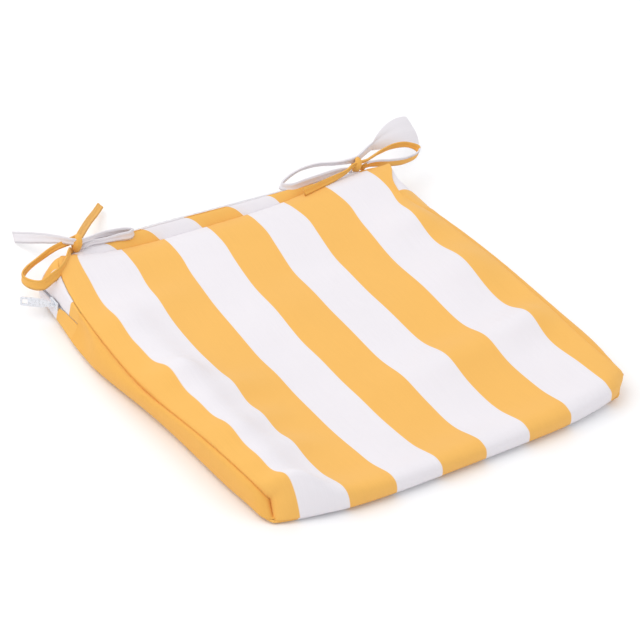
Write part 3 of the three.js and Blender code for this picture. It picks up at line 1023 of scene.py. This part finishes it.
@dataclass
class PadForm:
    """The shape of the filled cover: dished on top, drawn in at its corners, slack at the back."""

    height: float = 0.031
    back_rise: float = 0.008
    dish_at: Sequence[float] = (-0.200, -0.160, -0.080, 0.020, 0.110, 0.200)
    dish: Sequence[float] = (0.010, 0.017, 0.019, 0.0105, 0.0065, 0.0085)
    dish_middle: float = -0.061
    dish_power: float = 2.6
    back_shift: float = 0.027
    corner_lift: float = 0.005
    front_drop: tuple[float, float] = (0.014, 0.010)
    front_pull: tuple[float, float] = (0.016, -0.007)
    seam_fade: float = 0.009
    bottom_lift: tuple[float, float] = (0.0010, 0.0006)
    seam_round: float = 0.005
    fold_round: tuple[float, float] = (0.005, 0.013)
    seam_tuck: float = 0.0024

    def corner_pull(self, u: float, v: float, top: bool) -> Vector:
        """How far a place is drawn in towards the middle by the nearest corner.

        Args:
            u: place across.
            v: place along.
            top: for the top panel, or else the bottom one.

        Returns:
            The move in plan.
        """
        w = abs(u / HALF) ** (4 if u < 0 and v < 0 else 5) * abs(v / HALF) ** 5
        if u < 0:
            front = (0.009, 0.030) if top else (0.013, 0.0165)
            back = (0.019, -0.004) if top else (0.007, -0.006)
        else:
            front = (-0.004, 0.022) if top else (0.004, 0.026)
            back = (0.0035, -0.009) if top else (-0.002, -0.006)
        move = front if v < 0 else back
        tip = abs(u / HALF) ** 20 * abs(v / HALF) ** 20
        x, y = (pull * w - math.copysign(0.003, way) * tip for pull, way in zip(move, (u, v)))
        return Vector((x, y, 0.0))

    def top(self, u: float, v: float) -> Vector:
        """The top panel's place for a place on the flat cloth.

        Args:
            u: across, from -HALF to HALF.
            v: along, from -HALF at the front to HALF at the back.

        Returns:
            The point.
        """
        move = self.corner_pull(u, v, True)
        back = max(0.0, v / HALF)
        x = u + move.x + self.back_shift * back ** 2 * Within(8).at(u) + drifted(TOP_SIDEWAYS, u, v)
        y = v + move.y + drifted(TOP_BACKWARDS, u, v)
        span = HALF + self.dish_middle if u < self.dish_middle else HALF - self.dish_middle
        bowl = 1 - abs((u - self.dish_middle) / span) ** self.dish_power
        z = self.height + self.back_rise * Ramp(0.080, 0.120).at(v) - knots(v, self.dish_at, self.dish) * bowl
        z += self.corner_lift * abs(u / HALF) ** 5 * back ** 5 + drifted(TOP_UPWARDS, u, v)
        corner = abs(u / HALF) ** 8 * abs(v / HALF) ** 8 if v < 0 else 0.0
        z -= self.front_drop[u >= 0] * corner
        if u > 0:
            x += self.front_pull[0] * corner ** 0.9
            y += self.front_pull[1] * corner
        z += (1 - math.exp(-(HALF - abs(u)) / self.seam_fade)) * drifted(FOLDS, u, v)
        return Vector((x, y, z + self.puckers(u, v)))

    def puckers(self, u: float, v: float) -> float:
        """Small gathers that the stitching leaves along the seams, dying away within 15 mm.

        Args:
            u: place across.
            v: place along.

        Returns:
            The height.
        """
        side = math.exp(-(HALF - abs(u)) / 0.010) * math.sin(v * 410 + 1.3 * math.sin(v * 73 + u * 9))
        back = math.exp(-(HALF - v) / 0.010) * math.sin(u * 380 + 1.7 * math.sin(u * 61))
        return 0.00035 * (side + back)

    def bottom(self, u: float, v: float) -> Vector:
        """The bottom panel's place for a place on the flat cloth.

        Args:
            u: place across.
            v: place along.

        Returns:
            The point.
        """
        move = self.corner_pull(u, v, False)
        edge = max(abs(u), abs(v)) / HALF
        x = u + move.x + drifted(BOTTOM_SIDEWAYS, u, v)
        y = v + move.y + drifted(BOTTOM_BACKWARDS, u, v)
        return Vector((x, y, self.bottom_lift[0] + self.bottom_lift[1] * edge ** 12))

    def middle(self, u: float, v: float) -> Vector:
        """The boxing's place half way up, where the zip runs.

        Args:
            u: place across.
            v: place along.

        Returns:
            The point.
        """
        if v <= -HALF + TINY:
            low, high = self.bottom(u, v), self.top(u, v)
            point = low.lerp(high, 0.5)
            point.y -= 0.004 * (1 - abs(u / HALF) ** 6)
            return point
        if v >= HALF - TINY:
            slack = 1 - abs(u / HALF) ** 4
            turn = abs(u / HALF) ** 20
            return Vector((u - math.copysign(0.006, u) * turn, HALF + 0.007 * slack - 0.006 * turn,
                           ZIP_LEVEL + (0.0145 - 0.030 * u) * slack))
        out = raised = 0.0
        turn = abs(v / HALF) ** 20
        if u < 0:
            turn = ease((v - 0.188) / 0.012)
            out = 0.0105 * swell((v - 0.045) / 0.085) * ease((ZIP_CLOSED_END - v) / 0.050)
        else:
            out = 0.005 * swell((v - 0.050) / 0.080) + 0.006 * swell((v - 0.150) / 0.050)
            raised = 0.004 * swell((v - 0.165) / 0.040)
        ends = self.bottom(u, v).lerp(self.top(u, v), 0.5)
        near_front = ease((-v - 0.110) / 0.080)
        x = math.copysign(HALF + out, u) * (1 - near_front) + ends.x * near_front
        y = v * (1 - near_front) + ends.y * near_front
        if v > 0:
            x -= math.copysign(0.006, u) * turn
            y -= 0.006 * turn
        return Vector((x, y, (ZIP_LEVEL + raised) * (1 - near_front) + ends.z * near_front))

    def zip_rise(self, u: float, v: float) -> float:
        """How far the zip rides up the boxing at the back, as part of its height."""
        return 0.095 * (1 - abs(u / HALF) ** 4) if v >= HALF - TINY else 0.0

    def outward(self, u: float, v: float) -> Vector:
        """The direction out of the pad at or near its left, back or right edge.

        Args:
            u: place across.
            v: place along.

        Returns:
            The direction.
        """
        a = math.copysign(abs(u / HALF) ** 12, u)
        b = max(0.0, v / HALF) ** 12
        return Vector((a, b, 0.0)).normalized() if abs(a) + b > TINY else Vector((0.0, 1.0, 0.0))

    def boxing(self, u: float, v: float, h: float) -> Vector:
        """A place on the boxing.

        Args:
            u: edge place across.
            v: edge place along.
            h: from 0 at the bottom seam over 0.5 at the zip to 1 at the top seam.

        Returns:
            The point, with the seams' rounding and tuck.
        """
        low, mid, high = self.bottom(u, v), self.middle(u, v), self.top(u, v)
        a = 2 * (h - 0.5) * (h - 1)
        b = 4 * h * (1 - h)
        c = 2 * h * (h - 0.5)
        point = low * a + mid * b + high * c
        out = self.outward(u, v)
        below = (1 - h) * max(0.010, high.z - low.z)
        above = h * max(0.010, high.z - low.z)
        point = point - self.rounding(below, out, 1.0) - self.rounding(above, out, -1.0)
        if v < 0:
            point += Vector((-math.copysign(1, u), 1, 0)) * self.soft_edge(v + HALF)
        return point

    def rounding(self, distance: float, out: Vector, lift: float) -> Vector:
        """Move out and up (lift 1) or down (lift -1), to take away from cloth near a seam."""
        return (out + Vector((0, 0, lift))) * self.soft_edge(distance)

    def soft_edge(self, distance: float) -> float:
        """How far cloth draws back from a seam's sharp edge at a distance from it."""
        r = self.seam_round
        soft = (r - distance) ** 2 / (4 * r) if distance < r else 0.0
        return soft + 0.7 * self.seam_tuck * swell(distance / 0.0016)


@dataclass
class Cover:
    """The sewn cover: top with its front, bottom, two gussets and two zip strips."""

    form: PadForm
    front_drop: float = BOXING
    back_slit: float = 0.0046
    snug: Sequence[float] = (0.0008, 0.0020, 0.0045)

    def top_place(self, u: float, c: float) -> Placed:
        """Top panel place: c is the cloth's length from the back seam down over the front."""
        form = self.form
        fold = form.fold_round[0] + (form.fold_round[1] - form.fold_round[0]) * (u + HALF) / (2 * HALF)
        if c >= -HALF:
            point = form.top(u, c)
            from_fold = c + HALF
        else:
            t = min(1.0, (-HALF - c) / self.front_drop)
            point = self.front(u, t)
            from_fold = -HALF - c
        if from_fold < fold:
            soft = (fold - from_fold) ** 2 / (4 * fold)
            point = point + Vector((0, 1, -1)) * soft
        on_top = ease((c + HALF) / 0.008 + 0.5)
        if c > -HALF:
            out = form.outward(u, c)
            soft = form.soft_edge(min(HALF - abs(u), HALF - c))
            point = point - (out + Vector((0, 0, on_top)) - Vector((0, 1 - on_top, 0))) * soft
        else:
            soft = form.soft_edge(HALF - abs(u))
            inward = Vector((-math.copysign(1, u), 1 - on_top, -on_top))
            point = point + inward * soft
            point = point + Vector((0, 1, 1)) * form.soft_edge(self.front_drop + HALF + c)
        return point, (u, c)

    def front(self, u: float, t: float) -> Vector:
        """The front face, t from 0 at the fold to 1 at the bottom seam."""
        high, low = self.form.top(u, -HALF), self.form.bottom(u, -HALF)
        point = high.lerp(low, t)
        point.y -= 0.0025 * 4 * t * (1 - t) * (1 - abs(u / HALF) ** 6)
        return point

    def build(self, shop: Workshop) -> list[Piece]:
        """Sews the cover.

        Args:
            shop: the finishes.

        Returns:
            The six panels.
        """
        form = self.form
        across = [x - HALF for x in even_grid(78, self.snug, 2 * HALF)]
        along = [c - HALF - self.front_drop
                 for c in even_grid(86, self.snug, 2 * HALF + self.front_drop)]
        top = cloth_panel("cover_top", across, along, self.top_place)
        top.data.materials.append(shop.striped)

        def under(u: float, v: float) -> Placed:
            """Bottom panel place."""
            point = form.bottom(u, v)
            soft = form.soft_edge(HALF - max(abs(u), abs(v)))
            if -v > abs(u):
                return point + Vector((0, 1, 1)) * soft, (u, v)
            return point + (Vector((0, 0, 1)) - form.outward(u, v)) * soft, (u, v)

        square = [x - HALF for x in even_grid(60, self.snug, 2 * HALF)]
        bottom = cloth_panel("cover_bottom", square, square, under, flip=True)
        bottom.data.materials.append(shop.striped)
        panels = [top, bottom]
        for side in Side:
            panels.append(self.gusset(side, shop))
        panels.append(self.zip_strip("zip_strip_upper", True, shop.upper_strip))
        panels.append(self.zip_strip("zip_strip_lower", False, shop.lower_strip))
        for piece, node in zip(panels, (
            "cover_top_panel", "cover_bottom_panel", "left_side_gusset", "right_side_gusset",
            "zip_strip_upper", "zip_strip_lower",
        )):
            add_wall(piece, CLOTH_THICKNESS)
            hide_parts(node)
            LOG.info("%s: sewn", piece.name)
        return panels

    def gusset(self, side: Side, shop: Workshop) -> Piece:
        """One plain side gusset, from the front corner to the zip's closed end."""
        form = self.form
        length = HALF + ZIP_CLOSED_END
        along = [y - HALF for y in even_grid(52, self.snug, length)]
        up = even_grid(14, (0.03, 0.08, 0.15), 1.0)

        def place(v: float, h: float) -> Placed:
            """Gusset place."""
            point = form.boxing(side.value * HALF, v, h)
            return point, (v, h * BOXING)

        name = f"{side.name.lower()}_gusset"
        piece = cloth_panel(name, along, up, place, flip=side is Side.RIGHT)
        piece.data.materials.append(shop.orange)
        return piece

    def zip_strip(self, name: str, upper: bool, finish: Material) -> Piece:
        """One strip beside the zip, round the back and down both sides."""
        form = self.form
        along = even_grid(104, self.snug, ZIP_RUN)
        up = even_grid(9, (0.04, 0.12), 1.0)

        def place(s: float, t: float) -> Placed:
            """Strip place."""
            u, v = zip_edge(s)
            shut = ease((0.150 - v) / 0.006)
            gap = (ZIP_SLIT * (1 - 0.93 * shut) if v < HALF else self.back_slit) / 2 / BOXING
            line = 0.5 + form.zip_rise(u, v)
            h = line + gap + (1 - line - gap) * t if upper else (line - gap) * t
            point = form.boxing(u, v, h)
            lip = t if upper else 1 - t
            point = point - form.outward(u, v) * 0.0012 * swell(lip / 0.05)
            return point, (s + 0.012 * ease((s - 0.085) / 0.060), h * BOXING)

        piece = cloth_panel(name.replace("zip_strip", "zip_band"), along, up, place, flip=True)
        piece.data.materials.append(finish)
        return piece


@dataclass
class FoamCore:
    """The filling: a slab of foam that follows the dished top."""

    form: PadForm
    inset: float = 0.006

    def build(self, shop: Workshop) -> Piece:
        """Shapes the slab from a subdivided block."""
        bm = bmesh.new()
        bmesh.ops.create_cube(bm, size=2.0)
        bmesh.ops.bevel(bm, geom=bm.edges[:], offset=0.10, offset_type="OFFSET", segments=2, profile=0.5,
                        affect="EDGES", material=-1)
        bmesh.ops.subdivide_edges(bm, edges=bm.edges, cuts=11, use_grid_fill=True)
        room = HALF - self.inset
        for vert in bm.verts:
            u, v, h = vert.co.x * room, vert.co.y * room, (vert.co.z + 1) / 2
            top, low = self.form.top(u, v), self.form.bottom(u, v)
            point = (low + Vector((0, 0, 0.0016))).lerp(top - Vector((0, 0, 0.0060)), h)
            point.x -= math.copysign(0.004, u) * abs(u / room) ** 6
            vert.co = point
        face_outwards(bm)
        piece = finished("foam_slab", bm, "pad")
        piece.data.materials.append(shop.foam)
        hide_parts("foam_core")
        LOG.info("foam: cut")
        return piece


@dataclass
class Zip:
    """Tapes and interlocked nylon coils behind the slit."""

    form: PadForm
    tape_width: float = 0.010
    coil_pitch: float = 0.0013
    filament: float = 0.00026
    behind: float = 0.0016

    def course(self, s: float, h: float = 0.5) -> tuple[Vector, Vector, float]:
        """The zip's own line on the boxing.

        Args:
            s: run of zip from its closed end on the left.
            h: height on the boxing, 0.5 at the zip.

        Returns:
            The point, the direction out of the pad and how deep the zip lies.
        """
        u, v = zip_edge(s)
        at_back = ease((v - 0.190) / 0.010)
        h += self.form.zip_rise(u, v)
        return self.form.boxing(u, v, h), self.form.outward(u, v), self.behind * (1 - 0.5 * at_back)

    def tape(self, name: str, upper: bool, shop: Workshop) -> Piece:
        """One woven tape, sewn behind its strip."""
        along = [ZIP_RUN * i / 120 for i in range(121)]
        up = [0.0, 0.12, 0.3, 0.5, 0.75, 1.0]

        def place(s: float, t: float) -> Placed:
            """Tape place: t from the coil edge to the sewn edge."""
            rise = 0.0012 + (self.tape_width - 0.0012) * t
            point, out, behind = self.course(s, 0.5 + (rise if upper else -rise) / BOXING)
            inward = Vector((0, 0, -1.0 if upper else 1.0))
            point = point - out * (behind + 0.0016 * t) + inward * (0.0002 + 0.0034 * t)
            return point, (s, t * self.tape_width)

        piece = cloth_panel(name, along, up, place, flip=upper)
        piece.data.materials.append(shop.tape)
        add_wall(piece, 0.0005, 1, 0.0)
        return piece

    def coil(self, name: str, upper: bool, shop: Workshop) -> Piece:
        """One nylon coil: a thin filament wound as an oval helix along the tape's edge."""
        turns = int(ZIP_RUN / self.coil_pitch)
        per_turn = 8
        sign = 1.0 if upper else -1.0
        wire = bpy.data.curves.new(name, "CURVE")
        wire.dimensions = "3D"
        wire.bevel_depth = self.filament
        wire.bevel_resolution = 0
        wire.use_fill_caps = True
        spline = wire.splines.new("POLY")
        spline.points.add(turns * per_turn)
        for i, knot in enumerate(spline.points):
            point, out, behind = self.course(ZIP_RUN * i / (turns * per_turn))
            angle = math.tau * i / per_turn + (0.0 if upper else math.pi)
            lift = sign * (0.00105 + 0.00095 * math.cos(angle))
            depth = 0.00070 * math.sin(angle) - behind - 0.0002
            knot.co = (*(point + out * depth + Vector((0, 0, lift))), 1.0)
        wound = in_scene(name + "_wire", wire)
        bm = bmesh.new()
        bm.from_mesh(wound.to_mesh())
        wound.to_mesh_clear()
        bpy.data.objects.remove(wound)
        bmesh.ops.remove_doubles(bm, verts=bm.verts, dist=1e-6)
        face_outwards(bm)
        piece = finished(name, bm, "pad")
        piece.data.materials.append(shop.coil)
        return piece

    def build(self, shop: Workshop) -> list[Piece]:
        """Builds both tapes and both coils.

        Args:
            shop: the finishes.

        Returns:
            The four pieces.
        """
        made = []
        for upper, word in ((True, "upper"), (False, "lower")):
            tape = self.tape(f"zip_tape_{word}_sewn", upper, shop)
            coil = self.coil(f"zip_coil_{word}_wound", upper, shop)
            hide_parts(f"zip_tape_{word}")
            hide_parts(f"zip_coil_{word}")
            made += [tape, coil]
            LOG.info("zip %s: tape and coil", word)
        return made


@dataclass
class Slider:
    """The zip slider and its pull tab, standing where the frame's own stand."""

    plate: float = 0.0014
    edge: float = 0.00035
    hole: tuple[float, float] = (0.0050, 0.0046)
    bar: float = 0.00062
    bridge: float = 0.0034
    tab_thickness: float = 0.0012
    tab_start: float = 0.0002
    eye_end: float = 0.0035
    pivot: Vector = field(default_factory=lambda: Vector((-HALF - 0.003, 0.158, ZIP_LEVEL)))

    def rounded(self, bm: Mesh, amount: float, segments: int = 3) -> None:
        """Rounds every sharp edge of a mesh."""
        sharp = [e for e in bm.edges if len(e.link_faces) == 2 and e.calc_face_angle(0.0) > 0.5]
        bmesh.ops.bevel(bm, geom=sharp, offset=amount, offset_type="OFFSET", segments=segments, profile=0.5,
                        affect="EDGES", material=-1, clamp_overlap=True)

    def wing(self, low: Vector, high: Vector, near: float, thick: float) -> Mesh:
        """One slider plate: shield shaped, wide where the coils part.

        Args:
            low: lowest corner of the plate's room.
            high: highest corner of it.
            near: its lower x.
            thick: its thickness.

        Returns:
            The plate's mesh.
        """
        bm = bmesh.new()
        bmesh.ops.create_grid(bm, x_segments=10, y_segments=6, size=1.0)
        length, width = (high.y - low.y) / 2, (high.z - low.z) / 2
        middle = (low + high) / 2
        for vert in bm.verts:
            along, over = vert.co.x, vert.co.y
            taper = 0.80 + 0.20 * ease((along + 0.2) / 0.9) - 0.16 * ease((along - 0.72) / 0.28)
            notch = 0.16 * swell(over / 0.35) * ease((along - 0.75) / 0.25)
            vert.co = Vector((near, middle.y + (along - notch) * length, middle.z + over * width * taper))
        made = bmesh.ops.extrude_face_region(bm, geom=bm.faces[:])["geom"]
        bmesh.ops.translate(bm, verts=new_corners(made), vec=(thick, 0, 0))
        face_outwards(bm)
        self.rounded(bm, self.edge)
        return bm

    def block(self, centre: Vector, size: Vector, amount: float) -> Mesh:
        """A rounded block, such as the post between the plates.

        Args:
            centre: its middle.
            size: its three sizes.
            amount: how far its edges are rounded.

        Returns:
            The block's mesh.
        """
        bm = bmesh.new()
        bmesh.ops.create_cube(bm, size=1.0)
        bmesh.ops.scale(bm, vec=size, verts=bm.verts)
        self.rounded(bm, amount)
        bmesh.ops.translate(bm, verts=bm.verts, vec=centre)
        return bm

    def lug(self, low: Vector, high: Vector, foot: float, level: float) -> Mesh:
        """The arched bridge that holds the tab: a round bar bent over the outer plate."""
        bm = bmesh.new()
        bmesh.ops.create_circle(bm, segments=10, radius=self.bar)
        reach = foot - low.x - self.bar
        middle = (low.y + high.y) / 2
        points = []
        for i in range(25):
            turn = math.pi * i / 24
            bend = abs(math.sin(turn)) ** 0.55
            points.append(Vector((foot - reach * bend, middle - self.bridge * math.cos(turn), level)))
        across = Vector((0, 0, 1))
        frames = []
        for before, here, after in zip([points[0], *points], points, [*points[1:], points[-1]]):
            ahead = (after - before).normalized()
            stand = Matrix((ahead.cross(across).normalized(), across, ahead)).transposed().to_4x4()
            frames.append(Matrix.Translation(here) @ stand)
        bmesh.ops.transform(bm, matrix=frames[0], verts=bm.verts)
        sweep(bm, frames)
        bmesh.ops.holes_fill(bm, edges=bm.edges, sides=10)
        face_outwards(bm)
        return bm

    def body(self, shop: Workshop) -> Piece:
        """The slider: two plates, the post between them, and the lug on top.

        Args:
            shop: the finishes.

        Returns:
            The slider.
        """
        low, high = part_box("slider_body")
        level = (low.z + high.z) / 2
        outer = -HALF - 0.0018
        inner = -HALF + 0.0030
        smaller = Vector((0, 0.0005, 0.0008))
        post = Vector((-HALF + 0.0013, high.y - 0.0024, level))
        plates = [
            self.wing(low, high, outer, self.plate),
            self.wing(low + smaller, high - smaller, inner, self.plate),
            self.block(post, Vector((0.0036, 0.0028, 0.0015)), 0.0004),
            self.lug(low, high, outer + 0.0003, level),
        ]
        whole = bmesh.new()
        for bm in plates:
            mesh = bpy.data.meshes.new("slider part")
            bm.to_mesh(mesh)
            bm.free()
            whole.from_mesh(mesh)
            bpy.data.meshes.remove(mesh)
        piece = finished("zip_slider", whole, "slider", smooth=False)
        piece.data.materials.append(shop.enamel)
        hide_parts("slider_body")
        return piece

    def tab(self, shop: Workshop) -> Piece:
        """The pull tab: a tapered plate with an eye round the lug and a grip hole near its end.

        Args:
            shop: the finishes.

        Returns:
            The tab.
        """
        low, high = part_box("pull_tab")
        pivot = self.pivot
        far = Vector((low.x, high.y, pivot.z))
        lies = math.atan2(far.y - pivot.y - 0.0004, -(far.x - pivot.x) - 0.0004)
        reach = (far - pivot).length - 0.0003
        width = high.z - low.z
        bm = bmesh.new()
        bmesh.ops.create_grid(bm, x_segments=18, y_segments=8, size=1.0)
        grip = (reach - 0.0018 - self.hole[0], reach - 0.0018)
        stops_x = [-0.0019, -0.0010, self.tab_start,
                   *[self.tab_start + (self.eye_end - self.tab_start) * i / 3 for i in (1, 2, 3)],
                   0.0052, 0.0075, 0.0100, 0.0130, 0.0160, 0.0185, grip[0] - 0.0012, grip[0],
                   (grip[0] + grip[1]) / 2, grip[1], grip[1] + 0.0006, reach - 0.0005, reach]
        half = [-1.0, -0.80, -self.hole[1] / width, -0.22, 0.0, 0.22, self.hole[1] / width, 0.80, 1.0]
        for vert in bm.verts:
            i = round((vert.co.x + 1) * 9)
            j = round((vert.co.y + 1) * 4)
            at = stops_x[i]
            slim = 0.56 + 0.44 * ease((at - 0.001) / 0.011)
            ends = 1 - 0.22 * ease((at - reach + 0.0012) / 0.0012) - 0.25 * ease((-0.0002 - at) / 0.0017)
            in_hole = grip[0] - 1e-6 <= at <= grip[1] + 1e-6 and abs(j - 4) <= 2
            over = half[j] * width / 2 * (1.0 if in_hole else slim * ends)
            vert.co = Vector((at, over, 0.0))
        gone = []
        for face in bm.faces:
            middle = face.calc_center_median()
            if grip[0] < middle.x < grip[1] and abs(middle.y) < self.hole[1] / 2:
                gone.append(face)
            if -0.0010 < middle.x < self.eye_end - 0.0008 and abs(middle.y) < width * 0.56 * 0.5 * 0.5:
                gone.append(face)
        bmesh.ops.delete(bm, geom=gone, context="FACES")
        made = bmesh.ops.extrude_face_region(bm, geom=bm.faces[:])["geom"]
        bmesh.ops.translate(bm, verts=new_corners(made), vec=(0, 0, self.tab_thickness))
        bmesh.ops.translate(bm, verts=bm.verts, vec=(0, 0, -self.tab_thickness / 2))
        face_outwards(bm)
        self.rounded(bm, 0.0003, 2)
        along = Vector((-math.cos(lies), math.sin(lies), 0))
        turn = Matrix((along, Vector((0, 0, 1)), along.cross(Vector((0, 0, 1))))).transposed().to_4x4()
        bmesh.ops.transform(bm, matrix=Matrix.Translation(pivot) @ turn, verts=bm.verts)
        face_outwards(bm)
        piece = finished("zip_pull", bm, "tab", smooth=False)
        piece.data.materials.append(shop.enamel)
        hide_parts("pull_tab")
        return piece

    def build(self, shop: Workshop) -> list[Piece]:
        """Builds the slider and the tab.

        Args:
            shop: the finishes.

        Returns:
            Both pieces.
        """
        made = [self.body(shop), self.tab(shop)]
        for piece in made:
            LOG.info("%s: cast and enamelled", piece.name)
        return made


def main() -> None:
    """Builds the seat pad in order."""
    logging.basicConfig(level=logging.INFO, format="%(name)s: %(message)s")
    shop = Workshop()
    studio = Studio()
    studio.camera()
    Bows().build(shop)
    form = PadForm()
    Cover(form).build(shop)
    FoamCore(form).build(shop)
    Zip(form).build(shop)
    Slider().build(shop)
    studio.lights(shop)


if __name__ == "__main__":
    main()
